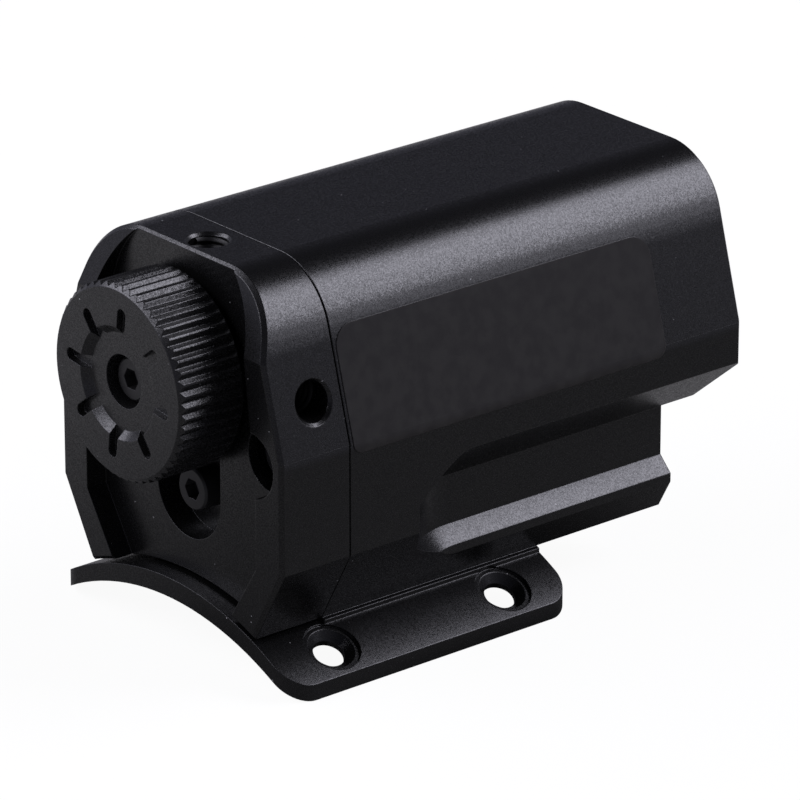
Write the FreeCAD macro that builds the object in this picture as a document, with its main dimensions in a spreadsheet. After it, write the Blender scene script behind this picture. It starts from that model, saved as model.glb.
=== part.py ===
"""Saddle-mounted infrared illuminator with a focus knob at its rear.

Millimetres. +Y is the way the light shines, +Z is up. The origin is the middle of the
footprint on the plane that the saddle's two long edges stand on. Stations along the
housing are measured forward from the rear block's rear face.
"""
import FreeCAD, Part
import math
import os
import re

import Sketcher
from FreeCAD import Placement, Rotation, Vector

SIZES = (
    # Outer section of the housing and the rear block
    ("body_height", 42.17),
    ("half_width", 17.5),
    ("shoulder_height", 25.13),
    ("waist_height", 13.43),
    ("foot_half_width", 12.95),
    ("side_lean", 15.67),
    ("top_corner_radius", 7.68),
    ("axis_height", 30.0),
    # Stations along the housing
    ("block_length", 8.6),
    ("gasket_thickness", 0.12),
    ("housing_front", 60.3),
    ("neck_front", 53.4),
    ("hood_height", 16.3),
    ("hood_nose_height", 20.65),
    ("hood_nose_setback", 2.5),
    # Saddle
    ("seat_radius", 36.0),
    ("saddle_half_width", 18.85),
    ("saddle_thickness", 2.08),
    ("saddle_top_radius", 34.05),
    ("saddle_rear", 0.2),
    ("saddle_front", 36.8),
    ("saddle_corner_radius", 3.0),
    ("ledge_rise", 0.4),
    ("ledge_half_width", 13.36),
    ("mount_hole_offset", 15.85),
    ("mount_hole_rear", 7.65),
    ("mount_hole_spacing", 22.2),
    ("mount_hole_bore", 3.3),
    ("countersink_bore", 4.9),
    ("spotface_bore", 5.9),
    ("spotface_depth", 0.35),
    # Dovetail grooves
    ("groove_web_offset", 13.1),
    ("groove_web_top", 16.3),
    ("groove_web_bottom", 10.95),
    ("groove_land_offset", 14.7),
    ("cutter_radius", 8.0),
    ("groove_end", 24.6),
    ("cutter_clearance", 2.0),
    # Rear block
    ("facet_foot", 34.7),
    ("facet_setback", 2.34),
    ("rear_chamfer", 0.4),
    ("block_seam_chamfer", 0.08),
    ("housing_seam_chamfer", 0.05),
    ("gasket_inset", 0.3),
    ("pocket_depth", 2.4),
    ("pocket_half_width", 13.5),
    ("pocket_side_foot", 13.0),
    ("pocket_side_top", 21.0),
    ("pocket_shoulder_half_width", 11.9),
    ("pocket_mouth_half_width", 7.2),
    ("pocket_foot_half_width", 9.4),
    ("pocket_corner_radius", 11.6),
    ("recess_radius", 5.0),
    ("recess_height", 16.4),
    ("recess_depth", 2.9),
    ("block_screw_offset", 12.9),
    ("block_screw_height", 23.8),
    ("counterbore_radius", 3.4),
    ("counterbore_depth", 6.8),
    ("set_screw_station", 5.2),
    ("set_screw_length", 4.0),
    ("tapped_hole_chamfer", 0.3),
    ("cut_overrun", 2.0),
    # Fasteners
    ("m3_bore", 3.0),
    ("m3_head", 5.5),
    ("m3_head_height", 3.0),
    ("m3_key", 2.5),
    ("m25_bore", 2.5),
    ("m25_head", 4.5),
    ("m25_head_height", 2.5),
    ("m25_key", 2.0),
    ("m4_bore", 4.0),
    ("m4_key", 2.0),
    ("m2_bore", 2.0),
    ("m2_head", 3.8),
    ("m2_head_height", 1.4),
    ("m2_key", 1.5),
    ("head_bevel", 0.2),
    ("key_depth", 1.3),
    ("block_screw_reach", 8.0),
    ("recess_screw_reach", 6.5),
    ("knob_screw_reach", 4.8),
    ("board_screw_reach", 4.0),
    ("shank_clearance", 0.2),
    ("thread_clearance", 0.03),
    # Focus knob
    ("knob_reach", 6.3),
    ("knob_gap", 0.7),
    ("knob_radius", 10.2),
    ("knurl_depth", 0.34),
    ("knurl_land", 0.24),
    ("knurl_root", 0.08),
    ("knurl_count", 54),
    ("knurl_turn", 2.0),
    ("knob_bevel", 0.5),
    ("dish_radius", 5.85),
    ("dish_depth", 0.83),
    ("slot_count", 8),
    ("slot_turn", 6.9),
    ("slot_width", 1.3),
    ("slot_outer_radius", 8.05),
    ("slot_run_in", 0.1),
    ("knob_counterbore", 5.5),
    ("knob_screw_sink", 0.9),
    ("knob_web", 1.2),
    # Spindle and its bearing
    ("spindle_bore", 4.0),
    ("spindle_front", 31.4),
    ("running_fit", 0.05),
    ("collar_radius", 3.0),
    ("collar_length", 1.0),
    ("bush_rear", 3.3),
    ("bush_front", 12.4),
    ("bush_bore", 10.0),
    ("bush_fit", 0.05),
    ("seal_section", 1.1),
    ("seal_pocket_depth", 2.0),
    ("clip_radius", 3.5),
    ("clip_thickness", 0.6),
    ("clip_groove", 0.4),
    ("rear_wall_front", 14.4),
    # Optical barrel
    ("barrel_bore", 18.0),
    ("carriage_rear", 20.4),
    ("carriage_length", 16.0),
    ("carriage_bore_depth", 12.5),
    ("guide_station", 31.4),
    ("guide_bore", 2.0),
    ("guide_tip", 7.4),
    ("guide_sink", 0.5),
    ("carriage_travel", 5.25),
    ("travel_spare", 0.3),
    ("light_board_radius", 7.0),
    ("light_board_thickness", 1.6),
    ("light_screw_offset", 4.9),
    ("emitter_side", 3.5),
    ("emitter_height", 1.0),
    ("emitter_dome_radius", 1.3),
    ("ring_bore", 22.0),
    ("ring_inner_radius", 9.25),
    ("ring_length", 2.6),
    ("ring_notch", 1.4),
    ("lens_radius", 10.5),
    ("lens_edge", 2.0),
    ("lens_dome_radius", 9.0),
    ("lens_rise", 3.2),
    ("lens_seal_thickness", 1.0),
    # Driver bay and the supply contacts
    ("bay_half_width", 9.5),
    ("bay_floor", 9.2),
    ("bay_height", 4.8),
    ("bay_front", 46.0),
    ("wire_bore", 3.0),
    ("wire_station", 42.0),
    ("pad_thickness", 0.3),
    ("driver_half_width", 8.5),
    ("driver_rear", 11.0),
    ("driver_front", 44.0),
    ("driver_thickness", 1.6),
    ("chip_side", 5.0),
    ("chip_height", 1.2),
    ("chip_station", 25.0),
    ("coil_side", 7.0),
    ("coil_height", 2.4),
    ("coil_station", 34.0),
    ("coil_corner_radius", 1.5),
    ("contact_station", 18.0),
    ("contact_block_bore", 7.0),
    ("contact_recess", 0.3),
    ("contact_pitch", 3.0),
    ("contact_pin_bore", 1.2),
    ("contact_reach", 0.6),
)

NAMES = {alias for alias, number in SIZES}

# Derived places, written as formulas in the sizes above
ORIGIN = "((housing_front - knob_reach) / 2)"
HOUSING_REAR = "(block_length + gasket_thickness)"
CORNER_HEIGHT = "(body_height - top_corner_radius)"
CORNER_X = (
    f"(half_width - (top_corner_radius + ({CORNER_HEIGHT} - shoulder_height) * sin(side_lean))"
    " / cos(side_lean))"
)
SEAT_CROWN = "(seat_radius - sqrt(seat_radius^2 - saddle_half_width^2))"
ARCH_CENTRE = f"({SEAT_CROWN} + saddle_thickness - saddle_top_radius)"
ARCH_RADIUS = "(saddle_top_radius + ledge_rise)"
SPINDLE_RADIUS = "(spindle_bore / 2)"
KNOB_FRONT = "(pocket_depth - knob_gap)"
DISH_FLOOR = "(dish_depth - knob_reach)"
SCREW_SEAT = f"({DISH_FLOOR} + m25_head_height + knob_screw_sink)"
SPINDLE_REAR = f"({SCREW_SEAT} + knob_web)"
CLIP_REAR = "(bush_front + running_fit * 2)"
CARRIAGE_FRONT = "(carriage_rear + carriage_length)"
BOARD_FRONT = f"({CARRIAGE_FRONT} + light_board_thickness)"
LENS_REAR = "(neck_front + lens_seal_thickness)"
LENS_SHOULDER = f"({LENS_REAR} + lens_edge)"
DRIVER_FLOOR = "(bay_floor + pad_thickness)"
DRIVER_TOP = f"({DRIVER_FLOOR} + driver_thickness)"
CONTACT_FLOOR = f"({SEAT_CROWN} + contact_recess)"

# The sizes of a socket cap screw: thread, head, head's height and key
M3 = ("m3_bore", "m3_head", "m3_head_height", "m3_key")
M25 = ("m25_bore", "m25_head", "m25_head_height", "m25_key")

CCW = 1
CW = -1
CLOSE = 1e-4
LEAST_CUT = 1e-3

doc = FreeCAD.newDocument("infrared_illuminator")
sheet = doc.addObject("Spreadsheet::Sheet", "sizes")
for row, (alias, number) in enumerate(SIZES, 1):
    sheet.set(f"A{row}", alias)
    sheet.set(f"B{row}", str(number))
    sheet.setAlias(f"B{row}", alias)
doc.recompute()

parts = []


def formula(text):
    """The text with each size's name pointing at its cell."""
    return re.sub(r"[a-z][a-z0-9_]*", lambda w: f"sizes.{w[0]}" if w[0] in NAMES else w[0], text)


def value(text):
    """The number that a formula comes to."""
    return float(sheet.evalExpression(formula(text)))


def bind(thing, prop, text):
    thing.setExpression(prop, formula(text))


def on_arch(offset, radius=ARCH_RADIUS):
    """Height of the arch at a distance from the middle."""
    return f"({ARCH_CENTRE} + sqrt(({radius})^2 - ({offset})^2))"


def new_body(label, on_axis=True):
    """A body whose own origin is at station zero, on the optical axis or on the footprint."""
    body = doc.addObject("PartDesign::Body", label)
    body.Label = label
    body.AllowCompound = True
    bind(body, "Placement.Base.y", f"-{ORIGIN}")
    if on_axis:
        bind(body, "Placement.Base.z", "axis_height")
    parts.append(body)
    return body


def origin_item(body, role):
    return next(item for item in body.Origin.OriginFeatures if item.Role == role)


def new_sketch(body, plane, name, shift=("0", "0", "0"), turn="0"):
    """A sketch on an origin plane, shifted in its own axes and turned about its normal."""
    sketch = body.newObject("Sketcher::SketchObject", name)
    sketch.AttachmentSupport = [(origin_item(body, plane), "")]
    sketch.MapMode = "FlatFace"
    if turn != "0":
        sketch.AttachmentOffset = Placement(Vector(), Rotation(Vector(0, 0, 1), value(turn)))
        bind(sketch, "AttachmentOffset.Rotation.Angle", turn)
    for axis, text in zip("xyz", shift):
        if text != "0":
            bind(sketch, f"AttachmentOffset.Base.{axis}", text)
    return sketch


def section(body, name, station):
    """A sketch across the housing at a station, X to the right and Z up."""
    return new_sketch(body, "XZ_Plane", name, ("0", "0", f"-({station})"))


def pin_point(sketch, geometry, position, x, y):
    """Holds a point at the formulas x and y."""
    for kind, text, axis in (("DistanceX", x, -2), ("DistanceY", y, -1)):
        if text == "0":
            sketch.addConstraint(Sketcher.Constraint("PointOnObject", geometry, position, axis))
        else:
            limit = Sketcher.Constraint(kind, -1, 1, geometry, position, value(text))
            index = sketch.addConstraint(limit)
            bind(sketch, f"Constraints[{index}]", text)


def bind_radius(sketch, geometry, radius):
    index = sketch.addConstraint(Sketcher.Constraint("Radius", geometry, value(radius)))
    bind(sketch, f"Constraints[{index}]", radius)


def arc_between(start, end, radius, sense):
    """The shorter arc of a radius from start to end."""
    chord = end - start
    rise = math.sqrt(radius**2 - (chord.Length / 2) ** 2)
    left = Vector(-chord.y, chord.x, 0).normalize()
    centre = (start + end) / 2 + left * rise * sense
    first, last = (start, end) if sense == CCW else (end, start)
    angles = [math.atan2(point.y - centre.y, point.x - centre.x) for point in (first, last)]
    circle = Part.Circle(centre, Vector(0, 0, 1), radius)
    return Part.ArcOfCircle(circle, angles[0], angles[1])


def outline(sketch, corners):
    """A closed outline. A corner is x, y and, where an arc leaves it, its radius and sense."""
    points = [Vector(value(corner[0]), value(corner[1]), 0) for corner in corners]
    edges = []
    for corner, start, end in zip(corners, points, points[1:] + points[:1]):
        if len(corner) == 2:
            geometry = sketch.addGeometry(Part.LineSegment(start, end))
            edges.append((geometry, 1, 2))
        else:
            radius, sense = corner[2:]
            geometry = sketch.addGeometry(arc_between(start, end, value(radius), sense))
            edges.append((geometry, 1, 2) if sense == CCW else (geometry, 2, 1))
            bind_radius(sketch, geometry, radius)
    for corner, edge, before in zip(corners, edges, edges[-1:] + edges[:-1]):
        joint = Sketcher.Constraint("Coincident", before[0], before[2], edge[0], edge[1])
        sketch.addConstraint(joint)
        pin_point(sketch, edge[0], edge[1], corner[0], corner[1])


def disc(sketch, x, y, radius):
    """A full circle."""
    centre = Vector(value(x), value(y), 0)
    geometry = sketch.addGeometry(Part.Circle(centre, Vector(0, 0, 1), value(radius)))
    pin_point(sketch, geometry, 3, x, y)
    bind_radius(sketch, geometry, radius)


def rectangle(sketch, left, right, bottom, top):
    outline(sketch, [(left, bottom), (right, bottom), (right, top), (left, top)])


def hexagon(sketch, across, x="0", y="0"):
    """A hexagon across two flats, with a corner to each side."""
    side = f"({across}) / sqrt(3)"
    flat = f"({across}) / 2"
    outline(sketch, [
        (f"{x} + {side}", y),
        (f"{x} + {side} / 2", f"{y} + {flat}"),
        (f"{x} - {side} / 2", f"{y} + {flat}"),
        (f"{x} - {side}", y),
        (f"{x} - {side} / 2", f"{y} - {flat}"),
        (f"{x} + {side} / 2", f"{y} - {flat}"),
    ])


def stadium(sketch, x, low, high, radius):
    """An upright slot with round ends, each end as two quarter arcs."""
    left, right = f"{x} - ({radius})", f"{x} + ({radius})"
    outline(sketch, [
        (right, low),
        (right, high, radius, CCW),
        (x, f"{high} + ({radius})", radius, CCW),
        (left, high),
        (left, low, radius, CCW),
        (x, f"{low} - ({radius})", radius, CCW),
    ])


def extrude(body, kind, sketch, length, reversed_way=False, both_ways=False):
    feature = body.newObject(f"PartDesign::{kind}", f"{sketch.Name}_{kind.lower()}")
    feature.Profile = sketch
    feature.Reversed = reversed_way
    if both_ways:
        feature.SideType = "Symmetric"
    bind(feature, "Length", length)
    sketch.Visibility = False
    return feature


def pad_forward(body, sketch, length):
    """Material from the sketch's station towards the front."""
    return extrude(body, "Pad", sketch, length, reversed_way=True)


def cut_forward(body, sketch, length):
    """A cut from the sketch's station towards the front."""
    return extrude(body, "Pocket", sketch, length)


def turn_about(body, kind, sketch, axis="H_Axis"):
    """A turned form, or a turned cut, about one of the sketch's axes."""
    feature = body.newObject(f"PartDesign::{kind}", f"{sketch.Name}_{kind.lower()}")
    feature.Profile = sketch
    feature.ReferenceAxis = (sketch, [axis])
    feature.Angle = 360
    return feature


def mirror_sides(body, features):
    mirrored = body.newObject("PartDesign::Mirrored", f"{body.Name}_mirrored")
    mirrored.Originals = features
    mirrored.MirrorPlane = (origin_item(body, "YZ_Plane"), [""])
    body.Tip = mirrored
    return mirrored


def repeat_round(body, features, count, angle="360"):
    """Copies of the features spaced about the body's own Y axis."""
    pattern = body.newObject("PartDesign::PolarPattern", f"{features[0].Name}_pattern")
    pattern.Originals = features
    pattern.Axis = (origin_item(body, "Y_Axis"), [""])
    bind(pattern, "Angle", angle)
    bind(pattern, "Occurrences", count)
    body.Tip = pattern
    return pattern


def dress(body, kind, name, size, wanted):
    """A fillet or chamfer on the edges of the body's newest feature that pass a test."""
    doc.recompute()
    base = body.Tip
    picked = [f"Edge{n}" for n, edge in enumerate(base.Shape.Edges, 1) if wanted(edge)]
    feature = body.newObject(f"PartDesign::{kind}", name)
    feature.Base = (base, picked)
    bind(feature, "Radius" if kind == "Fillet" else "Size", size)
    return feature


def near(first, second):
    return abs(first - second) < CLOSE


def outer_section(sketch):
    """The section that the housing and the rear block share, arched underneath."""
    side_x = f"({CORNER_X} + top_corner_radius * cos(side_lean))"
    side_z = f"({CORNER_HEIGHT} + top_corner_radius * sin(side_lean))"
    foot = on_arch("foot_half_width")
    outline(sketch, [
        ("foot_half_width", foot),
        ("half_width", "waist_height"),
        ("half_width", "shoulder_height"),
        (side_x, side_z, "top_corner_radius", CCW),
        (CORNER_X, "body_height"),
        (f"-{CORNER_X}", "body_height", "top_corner_radius", CCW),
        (f"-{side_x}", side_z),
        ("-half_width", "shoulder_height"),
        ("-half_width", "waist_height"),
        ("-foot_half_width", foot, ARCH_RADIUS, CW),
    ])


def arched_band(sketch, half_width, inner, outer, inner_z, outer_z):
    """A band between two arcs that curve over the middle."""
    outline(sketch, [
        (half_width, inner_z),
        (half_width, outer_z, outer, CCW),
        (f"-{half_width}", outer_z),
        (f"-{half_width}", inner_z, inner, CW),
    ])


def cap_screw(label, across, size, seat, reach, on_axis=True, height="0"):
    """A socket cap screw along Y whose head bears on the seat and points to the rear."""
    body = new_body(label, on_axis)
    bore, head, head_height, key = size
    back = f"({seat} - {head_height})"
    sketch = new_sketch(body, "YZ_Plane", f"{label}_section", ("0", height, across))
    thread = f"({bore} / 2 - thread_clearance)"
    outline(sketch, [
        (back, "0"),
        (f"{seat} + {reach}", "0"),
        (f"{seat} + {reach}", thread),
        (seat, thread),
        (seat, f"{head} / 2"),
        (f"{back} + head_bevel", f"{head} / 2"),
        (back, f"{head} / 2 - head_bevel"),
    ])
    screw = turn_about(body, "Revolution", sketch)
    socket_sketch = section(body, f"{label}_socket", back)
    hexagon(socket_sketch, key, across, height)
    socket = cut_forward(body, socket_sketch, "key_depth")
    return body, [screw, socket]


def build_saddle(body):
    """The curved plate that sits on the host, with rounded corners in plan."""
    sketch = section(body, "saddle_section", "saddle_rear")
    top = on_arch("saddle_half_width", "saddle_top_radius")
    arched_band(sketch, "saddle_half_width", "seat_radius", "saddle_top_radius", "0", top)
    pad_forward(body, sketch, "saddle_front - saddle_rear")
    corners = new_sketch(body, "XY_Plane", "saddle_corners")
    radius = "saddle_corner_radius"
    for side, side_sense in (("", CCW), ("-", CW)):
        edge = f"{side}saddle_half_width"
        inner = f"{side}(saddle_half_width - {radius})"
        past = f"{side}(saddle_half_width + cut_overrun)"
        for end, out, back, sense in (
            ("saddle_front", "+", "-", side_sense),
            ("saddle_rear", "-", "+", -side_sense),
        ):
            outline(corners, [
                (edge, f"{end} {back} {radius}", radius, sense),
                (inner, end),
                (inner, f"{end} {out} cut_overrun"),
                (past, f"{end} {out} cut_overrun"),
                (past, f"{end} {back} {radius}"),
            ])
    extrude(body, "Pocket", corners, "body_height", reversed_way=True)
    ledge = section(body, "ledge_section", HOUSING_REAR)
    inner = "(saddle_top_radius - saddle_thickness / 2)"
    arched_band(ledge, "ledge_half_width", inner, ARCH_RADIUS,
                on_arch("ledge_half_width", inner), on_arch("ledge_half_width"))
    pad_forward(body, ledge, f"saddle_front - {HOUSING_REAR}")


def build_hood(body):
    """Cuts the neck back below the hood and slopes the hood's lower nose."""
    run = "(cut_overrun * (hood_nose_height - hood_height) / hood_nose_setback)"
    sketch = new_sketch(body, "YZ_Plane", "hood_cut")
    outline(sketch, [
        ("neck_front", "0"),
        ("housing_front + cut_overrun", "0"),
        ("housing_front + cut_overrun", f"hood_nose_height + {run}"),
        ("housing_front - hood_nose_setback", "hood_height"),
        ("neck_front", "hood_height"),
    ])
    extrude(body, "Pocket", sketch, "2 * (half_width + cut_overrun)", both_ways=True)


def build_grooves(body):
    """One side's dovetail groove: a straight run and the form cutter's round end."""
    past = "(half_width + cut_overrun)"
    rise = f"({past} - groove_web_offset)"
    floor = f"({on_arch('groove_land_offset')} + cutter_clearance)"
    low = "(groove_web_bottom - groove_land_offset + groove_web_offset)"
    run = section(body, "groove_section", "groove_end")
    outline(run, [
        ("groove_land_offset", floor),
        (past, floor),
        (past, f"groove_web_top + {rise}"),
        ("groove_web_offset", "groove_web_top"),
        ("groove_web_offset", "groove_web_bottom"),
        ("groove_land_offset", low),
    ])
    straight = cut_forward(body, run, "housing_front - groove_end")
    axis_x = "(groove_web_offset + cutter_radius)"
    land = "(cutter_radius - groove_land_offset + groove_web_offset)"
    cutter = new_sketch(body, "XZ_Plane", "cutter_section", (axis_x, "0", "-groove_end"))
    outline(cutter, [
        ("0", floor),
        ("0", "groove_web_top + cutter_radius"),
        ("-cutter_radius", "groove_web_top"),
        ("-cutter_radius", "groove_web_bottom"),
        (f"-{land}", low),
        (f"-{land}", floor),
    ])
    return [straight, turn_about(body, "Groove", cutter, "V_Axis")]


def build_mount_holes(body):
    """One side's spot-faced, countersunk holes, square to the saddle's curved top."""
    angle = "asin(mount_hole_offset / saddle_top_radius)"
    bore = "(mount_hole_bore / 2)"
    rim = "(countersink_bore / 2)"
    through = "(saddle_thickness + cut_overrun)"
    holes = []
    height = on_arch("mount_hole_offset", "saddle_top_radius")
    front = "(mount_hole_rear + mount_hole_spacing)"
    for name, station in (("rear", "mount_hole_rear"), ("front", front)):
        place = ("mount_hole_offset", height, f"-{station}")
        sketch = new_sketch(body, "XZ_Plane", f"mount_hole_{name}", place, f"-{angle}")
        outline(sketch, [
            ("0", f"-{through}"),
            (bore, f"-{through}"),
            (bore, f"-spotface_depth - {rim} + {bore}"),
            (rim, "-spotface_depth"),
            ("spotface_bore / 2", "-spotface_depth"),
            ("spotface_bore / 2", through),
            ("0", through),
        ])
        holes.append(turn_about(body, "Groove", sketch, "V_Axis"))
    return holes


def build_bores(body):
    """Bearing hole, optical barrel and front ring seat in one turned cut."""
    sketch = new_sketch(body, "YZ_Plane", "barrel_section", ("0", "axis_height", "0"))
    bush = "(bush_bore / 2 + running_fit)"
    outline(sketch, [
        (HOUSING_REAR, "0"),
        ("housing_front", "0"),
        ("housing_front", "ring_bore / 2"),
        ("neck_front", "ring_bore / 2"),
        ("neck_front", "barrel_bore / 2"),
        ("rear_wall_front", "barrel_bore / 2"),
        ("rear_wall_front", bush),
        (HOUSING_REAR, bush),
    ])
    turn_about(body, "Groove", sketch)


def build_driver_bay(body):
    """The bay behind the rear block, its wire passage and the contact hole below."""
    bay = section(body, "bay_section", HOUSING_REAR)
    rectangle(bay, "-bay_half_width", "bay_half_width", "bay_floor", "bay_floor + bay_height")
    cut_forward(body, bay, f"bay_front - {HOUSING_REAR}")
    passage = new_sketch(body, "XY_Plane", "wire_passage", ("0", "0", "axis_height"))
    disc(passage, "0", "wire_station", "wire_bore / 2")
    extrude(body, "Pocket", passage, "axis_height - bay_floor - bay_height / 2")
    contact = new_sketch(body, "XY_Plane", "contact_hole")
    disc(contact, "0", "contact_station", "contact_block_bore / 2")
    extrude(body, "Pocket", contact, "bay_floor + bay_height / 2", reversed_way=True)


def build_tapped_holes(body):
    """Holes for the block screws, the recess screw and the guide pin."""
    outer = section(body, "block_screw_holes", HOUSING_REAR)
    for side in ("-", ""):
        disc(outer, f"{side}block_screw_offset", "block_screw_height", "m3_bore / 2")
    cut_forward(body, outer, "block_screw_reach")
    lower = section(body, "recess_screw_hole", HOUSING_REAR)
    disc(lower, "0", "recess_height", "m25_bore / 2")
    cut_forward(body, lower, "recess_screw_reach")
    guide = new_sketch(body, "YZ_Plane", "guide_hole")
    disc(guide, "guide_station", "axis_height", "guide_bore / 2")
    extrude(body, "Pocket", guide, "half_width", reversed_way=True)


def build_housing():
    body = new_body("housing", on_axis=False)
    build_saddle(body)
    main = section(body, "housing_section", HOUSING_REAR)
    outer_section(main)
    pad_forward(body, main, f"housing_front - {HOUSING_REAR}")
    seam = value(HOUSING_REAR)
    front = value("housing_front")
    hood = value("hood_nose_height")

    def is_front_edge(item):
        return all(near(v.Y, front) and v.Z > hood - CLOSE for v in item.Vertexes)

    def is_seam_edge(item):
        low = value("waist_height") - CLOSE
        return all(near(v.Y, seam) and v.Z > low for v in item.Vertexes)

    build_hood(body)
    dress(body, "Chamfer", "front_edge", "rear_chamfer", is_front_edge)
    dress(body, "Chamfer", "housing_seam", "housing_seam_chamfer", is_seam_edge)
    mirror_sides(body, build_grooves(body) + build_mount_holes(body))
    build_bores(body)
    build_driver_bay(body)
    build_tapped_holes(body)
    return body


def build_rear_block():
    """The block behind the housing, with the pocket that the knob reaches into."""
    body = new_body("rear_block", on_axis=False)
    main = section(body, "block_section", "0")
    outer_section(main)
    pad_forward(body, main, "block_length")
    facet = new_sketch(body, "YZ_Plane", "block_facet")
    outline(facet, [
        ("0", "facet_foot"),
        ("facet_setback", "body_height"),
        ("0", "body_height"),
    ])
    extrude(body, "Pocket", facet, "2 * (half_width + cut_overrun)", both_ways=True)
    waist = value("waist_height") - CLOSE
    facet_foot = value("facet_foot")
    slope = value("facet_setback / (body_height - facet_foot)")
    length = value("block_length")

    def is_rear_rim(item):
        ends = [vertex.Point for vertex in item.Vertexes]
        crossing = all(near(end.z, facet_foot) for end in ends)
        on_rear = [near(end.y, max(0.0, (end.z - facet_foot) * slope)) for end in ends]
        return all(on_rear) and not crossing

    def is_front_rim(item):
        return all(near(v.Y, length) and v.Z > waist for v in item.Vertexes)

    dress(body, "Chamfer", "block_rim", "rear_chamfer", is_rear_rim)
    dress(body, "Chamfer", "block_seam", "block_seam_chamfer", is_front_rim)
    pocket = section(body, "knob_pocket", "0")
    over = "(body_height + cut_overrun)"
    right = [
        ("pocket_foot_half_width", on_arch("pocket_foot_half_width")),
        ("pocket_half_width", "pocket_side_foot"),
        ("pocket_half_width", "pocket_side_top"),
        ("pocket_shoulder_half_width", "facet_foot", "pocket_corner_radius", CCW),
        ("pocket_mouth_half_width", "body_height"),
        ("pocket_mouth_half_width", over),
    ]
    left = [
        ("-pocket_mouth_half_width", over),
        ("-pocket_mouth_half_width", "body_height", "pocket_corner_radius", CCW),
        ("-pocket_shoulder_half_width", "facet_foot"),
        ("-pocket_half_width", "pocket_side_top"),
        ("-pocket_half_width", "pocket_side_foot"),
        ("-pocket_foot_half_width", on_arch("pocket_foot_half_width")),
        ("-pocket_foot_half_width", "0"),
        ("pocket_foot_half_width", "0"),
    ]
    outline(pocket, right + left)
    cut_forward(body, pocket, "pocket_depth")
    recess = section(body, "block_recess", "pocket_depth")
    stadium(recess, "0", "recess_height", "axis_height", "recess_radius")
    cut_forward(body, recess, "recess_depth")
    bush = section(body, "bush_hole", "0")
    disc(bush, "0", "axis_height", "bush_bore / 2")
    disc(bush, "0", "recess_height", "m25_bore / 2 + shank_clearance / 2")
    cut_forward(body, bush, "block_length")
    for name, radius, depth in (
        ("counterbores", "counterbore_radius", "counterbore_depth"),
        ("shank_holes", "m3_bore / 2 + shank_clearance", "block_length"),
    ):
        sketch = section(body, name, "0")
        for side in ("-", ""):
            disc(sketch, f"{side}block_screw_offset", "block_screw_height", radius)
        cut_forward(body, sketch, depth)
    top = new_sketch(body, "XY_Plane", "top_tapped_hole", ("0", "0", "body_height"))
    disc(top, "0", "set_screw_station", "m4_bore / 2")
    extrude(body, "Pocket", top, "body_height - axis_height")
    side = new_sketch(body, "YZ_Plane", "side_tapped_hole", ("0", "0", "half_width"))
    disc(side, "set_screw_station", "axis_height", "m4_bore / 2")
    extrude(body, "Pocket", side, "half_width")
    thread = value("m4_bore / 2")
    station = value("set_screw_station")
    height = value("body_height")
    inside = value("pocket_half_width")

    def is_hole_rim(item):
        box = item.BoundBox
        round_hole = near(box.YLength, 2 * thread) and near(box.Center.y, station)
        return round_hole and (near(box.ZMax, height) or box.XMin > inside)

    dress(body, "Chamfer", "tapped_hole_rims", "tapped_hole_chamfer", is_hole_rim)
    return body


def build_gasket():
    """The thin gasket in the seam, with the housing's own openings."""
    body = new_body("block_gasket", on_axis=False)
    main = section(body, "gasket_section", "block_length")
    half = "(half_width - gasket_inset)"
    corner = "(top_corner_radius - gasket_inset)"
    side_x = f"({CORNER_X} + {corner} * cos(side_lean))"
    side_z = f"({CORNER_HEIGHT} + {corner} * sin(side_lean))"
    top = "(body_height - gasket_inset)"
    foot = "(foot_half_width - gasket_inset)"
    shoulder = "(shoulder_height - gasket_inset * (1 - cos(side_lean)) / sin(side_lean))"
    outline(main, [
        (foot, on_arch(foot)),
        (half, "waist_height"),
        (half, shoulder),
        (side_x, side_z, corner, CCW),
        (CORNER_X, top),
        (f"-{CORNER_X}", top, corner, CCW),
        (f"-{side_x}", side_z),
        (f"-{half}", shoulder),
        (f"-{half}", "waist_height"),
        (f"-{foot}", on_arch(foot), ARCH_RADIUS, CW),
    ])
    pad_forward(body, main, "gasket_thickness")
    holes = section(body, "gasket_holes", "block_length")
    rectangle(holes, "-bay_half_width", "bay_half_width", "bay_floor", "bay_floor + bay_height")
    disc(holes, "0", "axis_height", "bush_bore / 2 + running_fit")
    disc(holes, "0", "recess_height", "m25_bore / 2 + shank_clearance / 2")
    for side in ("-", ""):
        disc(holes, f"{side}block_screw_offset", "block_screw_height", "m3_bore / 2 + shank_clearance")
    cut_forward(body, holes, "gasket_thickness")
    return body


def build_set_screws():
    """Two headless screws, one down from the top and one in from the side."""
    body = new_body("bush_set_screws")
    foot = "(bush_bore / 2)"
    radius = "(m4_bore / 2 - thread_clearance)"
    sketch = new_sketch(body, "YZ_Plane", "set_screw_section", ("set_screw_station", "0", "0"))
    outline(sketch, [
        ("0", foot),
        (f"{radius} - head_bevel", foot),
        (radius, f"{foot} + head_bevel"),
        (radius, f"{foot} + set_screw_length - head_bevel"),
        (f"{radius} - head_bevel", f"{foot} + set_screw_length"),
        ("0", f"{foot} + set_screw_length"),
    ])
    screw = turn_about(body, "Revolution", sketch, "V_Axis")
    place = ("0", "set_screw_station", f"{foot} + set_screw_length")
    key = new_sketch(body, "XY_Plane", "set_screw_socket", place)
    hexagon(key, "m4_key")
    socket = extrude(body, "Pocket", key, "key_depth")
    repeat_round(body, [screw, socket], "2", "90")
    return body


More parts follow.
